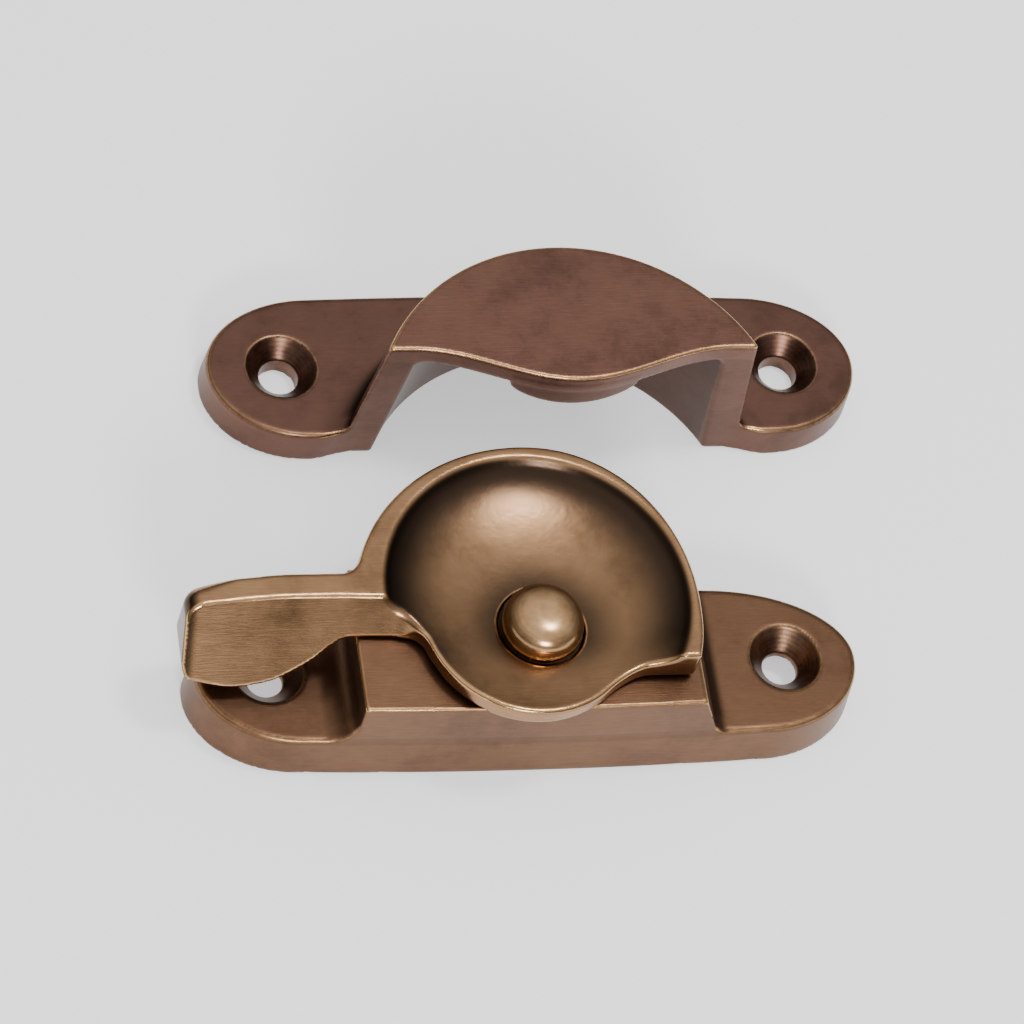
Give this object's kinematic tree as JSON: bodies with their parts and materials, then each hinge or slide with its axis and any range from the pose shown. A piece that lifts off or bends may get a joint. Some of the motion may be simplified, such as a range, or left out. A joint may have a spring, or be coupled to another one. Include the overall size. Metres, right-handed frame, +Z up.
{
  "type": "window sash lock",
  "caption": "Two-piece fitch fastener for sash windows: a base with a dished cam lever on a rivet, and a hooded keeper laid out behind it.",
  "frame": {"origin": "middle of the laid-out set's box, on the plane that both castings rest on", "axes": "+X along the plates, from the lever's finger end; +Y from the fastener base towards the keeper; +Z up, out of the window's meeting rail"},
  "size_m": [0.0736, 0.0526, 0.0178],
  "materials": {
    "base_brass": "sand-cast brass, linished and patinated to antique brown",
    "lever_brass": "sand-cast brass, linished and patinated, rubbed bright on its edges",
    "rivet_brass": "turned and burnished brass",
    "washer_brass": "stamped brass",
    "spring_steel": "rolled spring steel",
    "keeper_brass": "sand-cast brass, linished and patinated to a darker red brown"
  },
  "bodies": {
    "base": {"fastener_base": "base_brass", "pivot_rivet": "rivet_brass", "friction_washer": "spring_steel", "wave_washer": "spring_steel", "backing_washer": "washer_brass"},
    "lever": {"cam_lever": "lever_brass"},
    "keeper": {"keeper": "keeper_brass"}
  },
  "joints": [
    {"name": "lever_turn", "type": "hinge", "parent": "base", "child": "lever", "pos_m": [-0.00282, -0.01663, 0.0112], "axis": [0, 0, 1], "range_deg": [0, 180]},
    {"name": "keeper_slide", "type": "slide", "parent": "base", "child": "keeper", "axis": [-0.3378, -0.9412, 0], "range_m": [-0.02, 0.005]}
  ]
}
